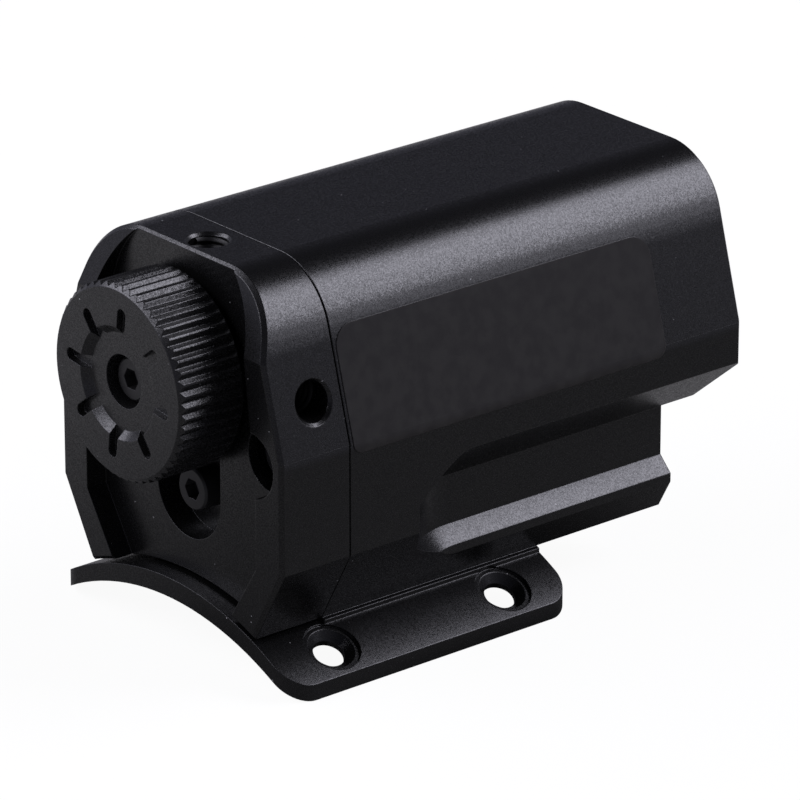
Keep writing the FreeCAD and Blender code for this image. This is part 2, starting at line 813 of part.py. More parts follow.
def build_knob():
    """A turned knob with straight knurling, a dished face and eight radial slots."""
    body = new_body("focus_knob")
    sketch = new_sketch(body, "YZ_Plane", "knob_section")
    rear = "-knob_reach"
    rim = "(knob_radius - knob_bevel)"
    floor = "(dish_radius - dish_depth)"
    bore = f"({SPINDLE_RADIUS} + thread_clearance)"
    outline(sketch, [
        (rear, "dish_radius"),
        (DISH_FLOOR, floor),
        (DISH_FLOOR, "knob_counterbore / 2"),
        (SCREW_SEAT, "knob_counterbore / 2"),
        (SCREW_SEAT, "m25_bore / 2 + shank_clearance / 2"),
        (SPINDLE_REAR, "m25_bore / 2 + shank_clearance / 2"),
        (SPINDLE_REAR, bore),
        (KNOB_FRONT, bore),
        (KNOB_FRONT, rim),
        (f"{KNOB_FRONT} - knob_bevel", "knob_radius"),
        (f"{rear} + knob_bevel", "knob_radius"),
        (rear, rim),
    ])
    turn_about(body, "Revolution", sketch)
    slot = new_sketch(body, "XZ_Plane", "knob_slot", ("0", "0", "knob_reach"), "-slot_turn")
    half = "(slot_width / 2)"
    inner = f"({floor} - slot_run_in)"
    outline(slot, [
        (inner, f"-{half}"),
        (f"slot_outer_radius - {half}", f"-{half}", half, CCW),
        ("slot_outer_radius", "0", half, CCW),
        (f"slot_outer_radius - {half}", half),
        (inner, half),
    ])
    repeat_round(body, [cut_forward(body, slot, "dish_depth")], "slot_count")
    valley = new_sketch(body, "XZ_Plane", "knurl_valley", ("0", "0", "knob_reach"), "-knurl_turn")
    opening = "((2 * pi * knob_radius / knurl_count - knurl_land) / 2)"
    root = "(knob_radius - knurl_depth)"
    lip = f"sqrt(knob_radius^2 - {opening}^2)"
    spread = f"(({opening} - knurl_root / 2) / ({lip} - {root}))"
    past = "(knob_radius + knurl_depth)"
    past_half = f"(knurl_root / 2 + {spread} * ({past} - {root}))"
    outline(valley, [
        (root, "-knurl_root / 2"),
        (past, f"-{past_half}"),
        (past, past_half),
        (root, "knurl_root / 2"),
    ])
    repeat_round(body, [cut_forward(body, valley, f"{KNOB_FRONT} + knob_reach")], "knurl_count")
    return body


def build_spindle():
    """The spindle with its collar and the clip's groove; its front end drives the carriage."""
    body = new_body("spindle")
    sketch = new_sketch(body, "YZ_Plane", "spindle_section")
    collar_front = "(bush_rear - running_fit * 2)"
    groove = f"({SPINDLE_RADIUS} - clip_groove)"
    clip_front = f"({CLIP_REAR} + clip_thickness + running_fit)"
    tapped = "(m25_bore / 2)"
    outline(sketch, [
        (SPINDLE_REAR, tapped),
        (f"{SPINDLE_REAR} + knob_screw_reach", tapped),
        (f"{SPINDLE_REAR} + knob_screw_reach", "0"),
        ("spindle_front", "0"),
        ("spindle_front", f"{SPINDLE_RADIUS} - head_bevel"),
        ("spindle_front - head_bevel", SPINDLE_RADIUS),
        (clip_front, SPINDLE_RADIUS),
        (clip_front, groove),
        (CLIP_REAR, groove),
        (CLIP_REAR, SPINDLE_RADIUS),
        (collar_front, SPINDLE_RADIUS),
        (collar_front, "collar_radius"),
        (f"{collar_front} - collar_length", "collar_radius"),
        (f"{collar_front} - collar_length", SPINDLE_RADIUS),
        (SPINDLE_REAR, SPINDLE_RADIUS),
    ])
    turn_about(body, "Revolution", sketch)
    return body


def build_bush():
    body = new_body("spindle_bush")
    sketch = new_sketch(body, "YZ_Plane", "bush_section")
    bore = f"({SPINDLE_RADIUS} + running_fit)"
    seal = f"({SPINDLE_RADIUS} + seal_section + running_fit * 2)"
    outer = "(bush_bore / 2 - bush_fit)"
    outline(sketch, [
        ("bush_rear", seal),
        ("bush_rear + seal_pocket_depth", seal),
        ("bush_rear + seal_pocket_depth", bore),
        ("bush_front", bore),
        ("bush_front", outer),
        ("bush_rear + head_bevel", outer),
        ("bush_rear", f"{outer} - head_bevel"),
    ])
    turn_about(body, "Revolution", sketch)
    seal_ring = new_body("spindle_seal")
    ring = new_sketch(seal_ring, "YZ_Plane", "seal_section_sketch")
    front = "(bush_rear + seal_pocket_depth)"
    inner = f"({SPINDLE_RADIUS} + running_fit)"
    rectangle(ring, f"{front} - seal_section", front, inner, f"{inner} + seal_section")
    turn_about(seal_ring, "Revolution", ring)
    return body


def build_clip():
    """A retaining clip: a ring with a gap, seated in the spindle's groove."""
    body = new_body("retaining_clip")
    sketch = section(body, "clip_section", CLIP_REAR)
    disc(sketch, "0", "0", "clip_radius")
    disc(sketch, "0", "0", f"{SPINDLE_RADIUS} - clip_groove + thread_clearance")
    pad_forward(body, sketch, "clip_thickness")
    gap = section(body, "clip_gap", CLIP_REAR)
    half = f"({SPINDLE_RADIUS} - clip_groove)"
    rectangle(gap, f"-{half}", half, "0", "clip_radius + cut_overrun")
    cut_forward(body, gap, "clip_thickness")
    return body


def build_carriage():
    """The light's carriage: bored for the spindle and slotted for the guide pin."""
    body = new_body("led_carriage")
    sketch = new_sketch(body, "YZ_Plane", "carriage_section")
    bore = f"({SPINDLE_RADIUS} + running_fit)"
    outer = "(barrel_bore / 2 - running_fit)"
    outline(sketch, [
        ("carriage_rear", bore),
        ("carriage_rear + carriage_bore_depth", bore),
        ("carriage_rear + carriage_bore_depth", "0"),
        (CARRIAGE_FRONT, "0"),
        (CARRIAGE_FRONT, f"{outer} - head_bevel"),
        (f"{CARRIAGE_FRONT} - head_bevel", outer),
        ("carriage_rear + head_bevel", outer),
        ("carriage_rear", f"{outer} - head_bevel"),
    ])
    turn_about(body, "Revolution", sketch)
    half = "(guide_bore / 2 + running_fit)"
    rear = f"(guide_station - carriage_travel - travel_spare - guide_bore / 2 + {half})"
    front = f"(guide_station + travel_spare + guide_bore / 2 - {half})"
    slot = new_sketch(body, "YZ_Plane", "guide_slot", ("0", "0", "barrel_bore / 2"))
    outline(slot, [
        (rear, f"-{half}"),
        (front, f"-{half}", half, CCW),
        (f"{front} + {half}", "0", half, CCW),
        (front, half),
        (rear, half, half, CCW),
        (f"{rear} - {half}", "0", half, CCW),
    ])
    extrude(body, "Pocket", slot, "barrel_bore / 2 - guide_tip + travel_spare")
    holes = section(body, "board_screw_holes", f"{CARRIAGE_FRONT} - board_screw_reach")
    for side in ("-", ""):
        disc(holes, "0", f"{side}light_screw_offset", "m2_bore / 2")
    cut_forward(body, holes, "board_screw_reach")
    return body


def build_guide_pin():
    """The pin that keeps the carriage from turning, pressed in from the side."""
    body = new_body("guide_pin")
    sketch = new_sketch(body, "YZ_Plane", "pin_section", ("0", "0", "guide_tip"))
    disc(sketch, "guide_station", "0", "guide_bore / 2")
    skin = "(half_width - (axis_height - shoulder_height) * tan(side_lean))"
    extrude(body, "Pad", sketch, f"{skin} - guide_sink - guide_tip")
    return body


def build_light():
    """The light's round board, its emitter and dome, and the board's screws."""
    board = new_body("led_board")
    sketch = section(board, "light_board_section", CARRIAGE_FRONT)
    disc(sketch, "0", "0", "light_board_radius")
    for side in ("-", ""):
        disc(sketch, "0", f"{side}light_screw_offset", "m2_bore / 2 + shank_clearance / 2")
    pad_forward(board, sketch, "light_board_thickness")
    emitter = new_body("led_emitter")
    base = section(emitter, "emitter_section", BOARD_FRONT)
    half = "emitter_side / 2"
    rectangle(base, f"-{half}", half, f"-{half}", half)
    pad_forward(emitter, base, "emitter_height")
    dome = new_sketch(emitter, "YZ_Plane", "dome_section")
    seat = f"({BOARD_FRONT} + emitter_height)"
    outline(dome, [
        (f"{seat} - emitter_height / 2", "0"),
        (f"{seat} + emitter_dome_radius", "0", "emitter_dome_radius", CCW),
        (seat, "emitter_dome_radius"),
        (f"{seat} - emitter_height / 2", "emitter_dome_radius"),
    ])
    turn_about(emitter, "Revolution", dome)
    return board


def build_board_screws():
    """Two small screws through the light's board, with their heads to the front."""
    body = new_body("board_screws")
    sketch = new_sketch(body, "YZ_Plane", "board_screw_section", ("0", "light_screw_offset", "0"))
    thread = "(m2_bore / 2 - thread_clearance)"
    tip = f"({CARRIAGE_FRONT} - board_screw_reach + thread_clearance)"
    front = f"({BOARD_FRONT} + m2_head_height)"
    outline(sketch, [
        (tip, "0"),
        (front, "0"),
        (front, "m2_head / 2 - head_bevel"),
        (f"{front} - head_bevel", "m2_head / 2"),
        (BOARD_FRONT, "m2_head / 2"),
        (BOARD_FRONT, thread),
        (tip, thread),
    ])
    screw = turn_about(body, "Revolution", sketch)
    key = section(body, "board_screw_socket", f"{front} - m2_head_height / 2")
    hexagon(key, "m2_key", "0", "light_screw_offset")
    socket = cut_forward(body, key, "m2_head_height / 2")
    repeat_round(body, [screw, socket], "2")
    return body


def build_optics():
    """The front lens, its seal and the threaded ring that holds them."""
    lens = new_body("front_lens")
    sketch = new_sketch(lens, "YZ_Plane", "lens_section")
    ball = "((lens_dome_radius^2 + lens_rise^2) / (2 * lens_rise))"
    outline(sketch, [
        (LENS_REAR, "0"),
        (f"{LENS_SHOULDER} + lens_rise", "0", ball, CCW),
        (LENS_SHOULDER, "lens_dome_radius"),
        (LENS_SHOULDER, "lens_radius"),
        (LENS_REAR, "lens_radius"),
    ])
    turn_about(lens, "Revolution", sketch)
    seal = new_body("lens_seal")
    ring = section(seal, "lens_seal_section", "neck_front")
    disc(ring, "0", "0", "lens_radius")
    disc(ring, "0", "0", "barrel_bore / 2 + running_fit")
    pad_forward(seal, ring, "lens_seal_thickness")
    holder = new_body("lens_ring")
    turned = new_sketch(holder, "YZ_Plane", "ring_section")
    front = f"({LENS_SHOULDER} + ring_length)"
    outer = "(ring_bore / 2 - running_fit)"
    outline(turned, [
        (LENS_SHOULDER, "ring_inner_radius"),
        (front, "ring_inner_radius"),
        (front, f"{outer} - head_bevel"),
        (f"{front} - head_bevel", outer),
        (LENS_SHOULDER, outer),
    ])
    turn_about(holder, "Revolution", turned)
    notch = section(holder, "ring_notches", f"{front} - ring_notch")
    half = "(ring_notch / 2)"
    rectangle(notch, "-ring_bore / 2 - cut_overrun", "ring_bore / 2 + cut_overrun", f"-{half}", half)
    cut_forward(holder, notch, "ring_notch")
    return lens


def build_block(label, half_width, rear, front, floor, height, corner="0"):
    """A plain rectangular piece in the driver bay."""
    body = new_body(label, on_axis=False)
    sketch = new_sketch(body, "XY_Plane", f"{label}_plan", ("0", "0", floor))
    rectangle(sketch, f"-{half_width}", half_width, rear, front)
    extrude(body, "Pad", sketch, height)
    if corner != "0":
        is_upright = lambda edge: near(edge.BoundBox.ZLength, value(height))
        dress(body, "Fillet", f"{label}_corners", corner, is_upright)
    return body


def build_driver():
    """The driver board on its thermal pad, with its chip and coil."""
    build_block("thermal_pad", "driver_half_width", "driver_rear + contact_block_bore * 2",
                "driver_front", "bay_floor", "pad_thickness")
    build_block("driver_board", "driver_half_width", "driver_rear", "driver_front",
                DRIVER_FLOOR, "driver_thickness")
    half = "(chip_side / 2)"
    build_block("driver_chip", half, f"chip_station - {half}", f"chip_station + {half}",
                DRIVER_TOP, "chip_height")
    half = "(coil_side / 2)"
    build_block("driver_coil", half, f"coil_station - {half}", f"coil_station + {half}",
                DRIVER_TOP, "coil_height", "coil_corner_radius")


def build_contacts():
    """The insulator in the saddle's crown and its two sprung pins."""
    body = new_body("contact_block", on_axis=False)
    plan = new_sketch(body, "XY_Plane", "contact_plan", ("0", "0", CONTACT_FLOOR))
    disc(plan, "0", "contact_station", "contact_block_bore / 2 - thread_clearance")
    for side in ("-", "+"):
        disc(plan, "0", f"contact_station {side} contact_pitch / 2",
             "contact_pin_bore / 2 + thread_clearance")
    extrude(body, "Pad", plan, f"{DRIVER_FLOOR} - {CONTACT_FLOOR}")
    pins = new_body("contact_pins", on_axis=False)
    foot = new_sketch(pins, "XY_Plane", "contact_pin_plan", ("0", "0", f"{SEAT_CROWN} - contact_reach"))
    for side in ("-", "+"):
        disc(foot, "0", f"contact_station {side} contact_pitch / 2", "contact_pin_bore / 2")
    extrude(pins, "Pad", foot, f"{DRIVER_FLOOR} - {SEAT_CROWN} + contact_reach")


def fastener_screws():
    """Socket cap screws whose heads point to the rear."""
    reach = f"{HOUSING_REAR} - counterbore_depth + block_screw_reach - thread_clearance"
    outer, made = cap_screw("block_screws", "block_screw_offset", M3, "counterbore_depth", reach,
                            on_axis=False, height="block_screw_height")
    mirror_sides(outer, made)
    seat = "(pocket_depth + recess_depth)"
    reach = f"{HOUSING_REAR} - {seat} + recess_screw_reach - thread_clearance"
    cap_screw("recess_screw", "0", M25, seat, reach, on_axis=False, height="recess_height")
    cap_screw("knob_screw", "0", M25, SCREW_SEAT, "knob_web + knob_screw_reach - thread_clearance")


def check_model():
    """Every object is sound, every cut removes material and every piece is valid."""
    for thing in doc.Objects:
        if "Invalid" in thing.State or "Error" in thing.State:
            raise RuntimeError(f"{thing.Name} failed: {thing.State}")
        if thing.TypeId in ("PartDesign::Pocket", "PartDesign::Groove"):
            if thing.Shape.Volume > thing.BaseFeature.Shape.Volume - LEAST_CUT:
                raise RuntimeError(f"{thing.Name} cuts nothing")
    for body in parts:
        if body.Shape.isNull() or not body.Shape.isValid():
            raise RuntimeError(f"{body.Label} has no valid shape")


def main():
    build_housing()
    build_rear_block()
    build_gasket()
    fastener_screws()
    build_set_screws()
    build_knob()
    build_spindle()
    build_bush()
    build_clip()
    build_carriage()
    build_guide_pin()
    build_light()
    build_board_screws()
    build_optics()
    build_driver()
    build_contacts()
    doc.recompute()
    check_model()
    os.makedirs("parts", exist_ok=True)
    for body in parts:
        body.Shape.exportStep(os.path.join("parts", f"{body.Label}.step"))


main()
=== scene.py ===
"""The looks of a saddle-mounted infrared illuminator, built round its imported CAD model."""
import math

import bmesh
import bpy
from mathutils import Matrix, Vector


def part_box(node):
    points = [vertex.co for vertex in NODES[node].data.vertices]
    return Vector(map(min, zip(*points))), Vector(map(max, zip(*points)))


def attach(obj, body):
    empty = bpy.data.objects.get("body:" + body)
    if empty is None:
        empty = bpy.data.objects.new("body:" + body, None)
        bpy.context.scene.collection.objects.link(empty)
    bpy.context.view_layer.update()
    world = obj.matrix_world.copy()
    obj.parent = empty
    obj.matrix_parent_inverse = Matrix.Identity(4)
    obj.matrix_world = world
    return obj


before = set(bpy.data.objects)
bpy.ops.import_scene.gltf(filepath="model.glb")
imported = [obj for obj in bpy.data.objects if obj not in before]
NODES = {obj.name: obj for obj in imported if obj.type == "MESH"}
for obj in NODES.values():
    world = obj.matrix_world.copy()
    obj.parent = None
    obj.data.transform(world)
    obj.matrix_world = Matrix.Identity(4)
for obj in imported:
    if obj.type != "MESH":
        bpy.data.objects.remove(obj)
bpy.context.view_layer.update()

MM = 0.001
MAIN = "main_body"

# The photograph's view, solved from the object's outlines
CAMERA_TARGET = Vector((-3.337, 5.40, 17.25)) * MM
CAMERA_AZIMUTH = 50.06
CAMERA_ELEVATION = 21.918
CAMERA_DISTANCE = 668.27 * MM
CAMERA_LENS = 295.2
CAMERA_SENSOR = 36.0

# The studio: what the camera sees is white, and gloss sees a dim floor and room
FLOOR_SIZE = 3.0
FLOOR_SEEN = 1.07
FLOOR_SEEN_SHARE = 0.88
FLOOR_TINT = (1.0, 0.98, 1.05, 1)

# The floor's glow in gloss, with places in millimetres: it grows along a way over the floor, and
# is dimmed in an oval under the object and in a round shade beside the knob
FLOOR_GLOW_NEAR = 0.16
FLOOR_GLOW_FAR = 0.44
GLOW_WAY = (-0.9, 0.44, 0)
GLOW_START = -14
GLOW_END = 34
UNDER_OVAL = (1, 0.6, 1)
UNDER_DIM = 0.3
UNDER_INNER = 16
UNDER_OUTER = 24
SHADE_CENTRE = (-14, -22, 0)
SHADE_DIM = 0.75
SHADE_INNER = 25
SHADE_OUTER = 60

# The room: palest near the floor, and towards the object's rear left
SKY_LOW = 0.19
SKY_HIGH = 0.02
SKY_HEIGHTS = (-0.1, 0.75)
SKY_BEHIND = 0.18
BEHIND_REACH = (-1.4, -0.3)
SKY_TINT = (0.97, 0.97, 1.22, 1)

LIGHT_TINT = (0.98, 0.97, 1.1)
LIGHT_TARGET = Vector((0, 0, 20)) * MM
# Each softbox: its name, azimuth, elevation, distance, size and power
SOFTBOXES = (
    ("softbox", 149, 42.5, 1.4, (0.92, 0.65), 9.7),
    ("softbox_skirt", 137, 20, 1.4, (0.74, 0.49), 1.45),
    ("back_softbox", -37.5, 40, 0.9, (1.21, 0.35), 4.4),
)


def box_mm(node):
    """A node's lowest and highest corners in millimetres."""
    low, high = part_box(node)
    return low / MM, high / MM


HOUSING_TOP = box_mm("housing")[1].z
BLOCK_LOW, BLOCK_HIGH = box_mm("rear_block")
KNOB_LOW, KNOB_HIGH = box_mm("focus_knob")
AXIS_Z = (KNOB_LOW.z + KNOB_HIGH.z) / 2
HALF_WIDTH = BLOCK_HIGH.x
SET_SCREW_IN = 5.2
SET_SCREW_Y = BLOCK_LOW.y + SET_SCREW_IN
SET_SCREW_TOP = box_mm("bush_set_screws")[1].z
SEAM_Y = BLOCK_HIGH.y

# The lean side that carries the label
SIDE_LEAN = math.radians(15.67)
SHOULDER_Z = 25.13
SIDE_UP = Vector((-math.sin(SIDE_LEAN), 0, math.cos(SIDE_LEAN)))
SIDE_OUT = Vector((math.cos(SIDE_LEAN), 0, math.sin(SIDE_LEAN)))
UPRIGHT = Vector((0, 0, 1))
RIGHT = Vector((1, 0, 0))
FOLD_OUT = Vector((1, 0, math.tan(SIDE_LEAN / 2)))
TOP_CORNER_RADIUS = 7.68
TOP_CORNER_Z = HOUSING_TOP - TOP_CORNER_RADIUS
CORNER_START_Z = TOP_CORNER_Z + TOP_CORNER_RADIUS * math.sin(SIDE_LEAN)
CORNER_START_X = HALF_WIDTH - (CORNER_START_Z - SHOULDER_Z) * math.tan(SIDE_LEAN)
LABEL_REAR = 9.05
LABEL_LENGTH = 40.8
LABEL_TOP = 11.7
LABEL_LAP = 1.2
LABEL_CORNER = 2.3
LABEL_THICKNESS = 0.07
CORNER_STEPS = 10

# Slopes that are eased in shading: into the top corners, the upright sides and the saddle's wings
EASE_START = -1.6
EASE_END = 3.0
EASE_DEPTH = 0.32
SHOULDER_LOW = 23.9
SHOULDER_HIGH = 26.3
SHOULDER_DEPTH = 0.43
WING_EASE = 0.045
WING_TOP = 5.5
NEARLY_FLAT = 0.05
EDGE_BREAK = 0.14
SEAM_REACH = 0.3
SEAM_KEEN = 0.6

# Blasted grain, painted shade on the undersides, and dust
FACETS_PER_MM = 10.0
FACET_SMOOTH = 0.23
FACET_SPREAD = 0.12
SHINE_LOSS = 0.36
FACET_TILT = 0.06
FACE_TILT = 0.03
AXIAL_FACING = 0.5
TEETH_TILT = 0.16
CLOUD_PER_MM = 0.22
CLOUD_SHARE = 0.15
DUST_PER_MM = 0.7
DUST_LEVEL = 0.4
DUST_RADIUS = 0.06
WAIST_Z = 13.4
SLOPE_STEEP = -0.4
SLOPE_FLAT = -0.9
UNDERSIDE_SHADE_SHARE = 0.55

# Marks and grain on the other finishes: their depths in millimetres, and a noise's usual span
MARK_SHARE = 0.2
MARK_DEPTH = 0.002
OILY_MARK_DEPTH = 0.001
GRAIN_DEPTH = 0.004
NOISE_LOW = 0.3
NOISE_HIGH = 0.7
LABEL_MOTTLE = (0.35, 0.65)

# Pairs of colours that a noise runs between
BLACKENED = ((0.03, 0.03, 0.03, 1), (0.05, 0.05, 0.05, 1))
BRASS = ((0.55, 0.38, 0.14, 1), (0.68, 0.5, 0.2, 1))
VIOLET_COATING = ((0.80, 0.74, 0.86, 1), (0.86, 0.80, 0.92, 1))
LABEL_BLACK = ((0.015, 0.0135, 0.013, 1), (0.021, 0.0195, 0.018, 1))

# Plain colours of the boards, the emitter and the thermal pad
BOARD_WHITE = (0.75, 0.75, 0.75, 1)
BOARD_GREEN = (0.02, 0.16, 0.07, 1)
RESIN_YELLOW = (0.75, 0.70, 0.45, 1)
GEL_GREY = (0.4, 0.45, 0.5, 1)

# Metric coarse thread in the two holes for the bush's set screws
THREAD_RADIUS = 2.02
THREAD_CREST = 1.72
THREAD_PITCH = 0.7
THREAD_STEPS = 48
# How far in from the surface it starts, and how much shorter it is than the way to the set screw
TOP_THREAD_IN = 0.35
TOP_THREAD_SHORT = 0.6
SIDE_THREAD_IN = 2.2
SIDE_THREAD_SHORT = 2.8


class Wire:
    """A socket's value, which takes part in Python sums."""

    def __init__(self, finish, socket):
        self.finish = finish
        self.socket = socket

    def sum(self, operation, first, second=0.0):
        return self.finish.add("ShaderNodeMath", {"operation": operation}, {0: first, 1: second})

    def __add__(self, other):
        return self.sum("ADD", self, other)

    __radd__ = __add__

    def __sub__(self, other):
        return self.sum("SUBTRACT", self, other)

    def __rsub__(self, other):
        return self.sum("SUBTRACT", other, self)

    def __mul__(self, other):
        return self.sum("MULTIPLY", self, other)

    __rmul__ = __mul__

    def __abs__(self):
        return self.sum("ABSOLUTE", self)

    def between(self, low, high, to_low=0.0, to_high=1.0):
        """Runs smoothly from one level to another as the value goes from low to high."""
        smooth = {"interpolation_type": "SMOOTHSTEP"}
        ends = {"From Min": low, "From Max": high, "To Min": to_low, "To Max": to_high}
        return self.finish.add("ShaderNodeMapRange", smooth, {"Value": self, **ends})

    def spread(self, low, high):
        """Stretches a noise over a span of levels."""
        return self.between(NOISE_LOW, NOISE_HIGH, low, high)


class Nodes:
    """A node tree that nodes are added to."""

    def __init__(self, owner):
        owner.use_nodes = True
        self.tree = owner.node_tree

    def add(self, kind, settings, inputs, output=0):
        """A node of a kind: its settings first, then its inputs. Gives one of its outputs."""
        node = self.tree.nodes.new(kind)
        for name, setting in settings.items():
            setattr(node, name, setting)
        for name, given in inputs.items():
            self.join(given, node.inputs[name])
        return Wire(self, node.outputs[output])

    def join(self, given, socket):
        if isinstance(given, Wire):
            self.tree.links.new(given.socket, socket)
        else:
            socket.default_value = given

    def part_of(self, vector, axis):
        return self.add("ShaderNodeSeparateXYZ", {}, {0: vector}, axis)

    def vector(self, operation, inputs, output=0):
        return self.add("ShaderNodeVectorMath", {"operation": operation}, inputs, output)

    def blend(self, factor, first, second):
        inputs = {"Factor": factor, 6: first, 7: second}
        return self.add("ShaderNodeMix", {"data_type": "RGBA"}, inputs, 2)

    def ray(self, kind):
        return self.add("ShaderNodeLightPath", {}, {}, f"Is {kind} Ray")


class Finish(Nodes):
    """A material: its node tree and its surface shader."""

    def __init__(self, name, **constants):
        self.material = bpy.data.materials.new(name)
        super().__init__(self.material)
        self.surface = self.tree.nodes["Principled BSDF"]
        for socket, number in constants.items():
            self.surface.inputs[socket.replace("_", " ")].default_value = number

    def paint(self, **channels):
        for name, given in channels.items():
            self.join(given, self.surface.inputs[name.replace("_", " ")])

    def overlay(self, share, shader):
        """Mixes a share of another shader into the surface."""
        plain = Wire(self, self.surface.outputs[0])
        mixed = self.add("ShaderNodeMixShader", {}, {0: share, 1: plain, 2: shader})
        self.join(mixed, self.tree.nodes["Material Output"].inputs["Surface"])

    def place(self):
        """The surface point in millimetres."""
        point = self.add("ShaderNodeTexCoord", {}, {}, "Object")
        return self.vector("SCALE", {0: point, "Scale": 1 / MM})

    def below(self, value, limit):
        return self.add("ShaderNodeMath", {"operation": "LESS_THAN"}, {0: value, 1: limit})

    def noise(self, vector, scale, detail):
        inputs = {"Vector": vector, "Scale": scale, "Detail": detail}
        return self.add("ShaderNodeTexNoise", {}, inputs, "Fac")

    def facets(self, vector, scale):
        """A random colour for each small cell."""
        inputs = {"Vector": vector, "Scale": scale}
        return self.add("ShaderNodeTexVoronoi", {}, inputs, "Color")

    def tilted(self, normal, random, amount):
        """A normal that leans by a random amount in each cell."""
        centred = self.vector("SUBTRACT", {0: random, 1: (0.5, 0.5, 0.5)})
        leaning = self.vector("SCALE", {0: centred, "Scale": amount})
        return self.vector("NORMALIZE", {0: self.vector("ADD", {0: normal, 1: leaning})})

    def true_normal(self):
        return self.add("ShaderNodeNewGeometry", {}, {}, "True Normal")

    def broken_edges(self, place):
        """The normal, with every edge rounded by a small radius, but less at the block's seam."""
        seam = self.below(abs(self.part_of(place, 1) - SEAM_Y), SEAM_REACH)
        radius = (1 - seam * SEAM_KEEN) * (EDGE_BREAK * MM)
        return self.add("ShaderNodeBevel", {"samples": 8}, {"Radius": radius})

    def relief(self, height, normal):
        """A height in millimetres over a normal."""
        inputs = {"Height": height, "Strength": 1.0, "Distance": MM, "Normal": normal}
        return self.add("ShaderNodeBump", {}, inputs, "Normal")


def grey(level):
    return (level, level, level, 1.0)


def blasted_anodise(name, level=0.004, turned_face=False, shape=None, underside_shade=None):
    """Bead-blasted aluminium under black anodise: facets, each with its own tilt and shine."""
    finish = Finish(name, IOR=1.66)
    place = finish.place()
    cloud = finish.noise(place, CLOUD_PER_MM, 3.0)
    facet = finish.facets(place, FACETS_PER_MM)
    shine = finish.part_of(facet, 0)
    bare = finish.blend(cloud, grey(level * (1 - CLOUD_SHARE)), grey(level * (1 + CLOUD_SHARE)))
    edges = finish.broken_edges(place)
    normal = finish.relief(shape(finish, place), edges) if shape else edges
    finish.paint(
        Base_Color=finish.blend(dust_specks(finish, place), bare, grey(DUST_LEVEL)),
        Roughness=shine * FACET_SPREAD + FACET_SMOOTH,
        Normal=finish.tilted(normal, facet, coarseness(finish) if turned_face else FACET_TILT),
    )
    dim = shine * SHINE_LOSS
    # Painted shade: the undersides give up a further share of their gloss, so that they look
    # shaded
    if underside_shade:
        dim = dim + (1 - dim) * underside_shade(finish, place)
    finish.overlay(dim, finish.add("ShaderNodeBsdfDiffuse", {}, {"Color": grey(level)}))
    return finish.material


def dust_specks(finish, place):
    """A few specks of dust, each under a fifth of a millimetre wide."""
    inputs = {"Vector": place, "Scale": DUST_PER_MM}
    nearness = finish.add("ShaderNodeTexVoronoi", {}, inputs, "Distance")
    chance = finish.part_of(finish.facets(place, DUST_PER_MM), 0)
    return finish.below(nearness, chance * (2 * DUST_RADIUS) - DUST_RADIUS)


def painted_underside_shade(finish, place):
    """Painted shade: the slopes below the waist are made less glossy, so that they look shaded.
    """
    facing = finish.part_of(finish.true_normal(), 2)
    slope = finish.below(facing, SLOPE_STEEP) * finish.below(SLOPE_FLAT, facing)
    return finish.below(finish.part_of(place, 2), WAIST_Z) * slope * UNDERSIDE_SHADE_SHARE


def coarseness(finish):
    """The facets' tilt on the knob: its teeth are blasted more coarsely than its turned face."""
    face = finish.below(AXIAL_FACING, abs(finish.part_of(finish.true_normal(), 1)))
    return TEETH_TILT - face * (TEETH_TILT - FACE_TILT)


def housing_shape(finish, place):
    """Eases the lean sides into the faces above and below, and flattens the wings a little."""
    x, z = abs(finish.part_of(place, 0)), finish.part_of(place, 2)
    run = (z - CORNER_START_Z) * math.cos(SIDE_LEAN) - (x - CORNER_START_X) * math.sin(SIDE_LEAN)
    corner = run.between(EASE_START, EASE_END, EASE_DEPTH, 0.0)
    wing = x * WING_EASE * finish.below(z, WING_TOP)
    sideways = finish.below(abs(finish.part_of(finish.true_normal(), 1)), NEARLY_FLAT)
    return (corner + wing + shoulder_ease(finish, place)) * sideways


def shoulder_ease(finish, place):
    """Eases an upright side into the lean side above it."""
    upright = finish.below(abs(finish.part_of(finish.true_normal(), 2)), NEARLY_FLAT)
    height = finish.part_of(place, 2)
    return height.between(SHOULDER_LOW, SHOULDER_HIGH, 0.0, -SHOULDER_DEPTH) * upright


def machined_steel(name, level=0.55, roughness=0.3):
    """Bare turned metal with faint marks."""
    finish = Finish(name, Metallic=1.0)
    place = finish.place()
    marks = finish.noise(place, 5.0, 4.0)
    finish.paint(
        Base_Color=finish.blend(marks, grey(level * (1 - MARK_SHARE)), grey(level)),
        Roughness=marks.spread(roughness, roughness + 0.15),
        Normal=finish.relief(marks * MARK_DEPTH, finish.broken_edges(place)),
    )
    return finish.material


def black_steel(name):
    """Blackened screw steel with a slight oily sheen."""
    finish = Finish(name, Metallic=0.6)
    place = finish.place()
    marks = finish.noise(place, 4.0, 4.0)
    finish.paint(
        Base_Color=finish.blend(marks, *BLACKENED),
        Roughness=marks.spread(0.3, 0.42),
        Normal=finish.relief(marks * OILY_MARK_DEPTH, finish.broken_edges(place)),
    )
    return finish.material


def brass(name):
    finish = Finish(name, Metallic=1.0)
    marks = finish.noise(finish.place(), 4.0, 4.0)
    finish.paint(
        Base_Color=finish.blend(marks, *BRASS),
        Roughness=marks.spread(0.25, 0.4),
    )
    return finish.material


def soft_black(name, level, roughness):
    """Black rubber or plastic with a fine grain."""
    finish = Finish(name, IOR=1.45)
    place = finish.place()
    grain = finish.noise(place, 12.0, 3.0)
    finish.paint(
        Base_Color=finish.blend(
            grain, grey(level * (1 - MARK_SHARE)), grey(level * (1 + MARK_SHARE))),
        Roughness=grain.spread(roughness - 0.06, roughness + 0.06),
        Normal=finish.relief(grain * GRAIN_DEPTH, finish.broken_edges(place)),
    )
    return finish.material


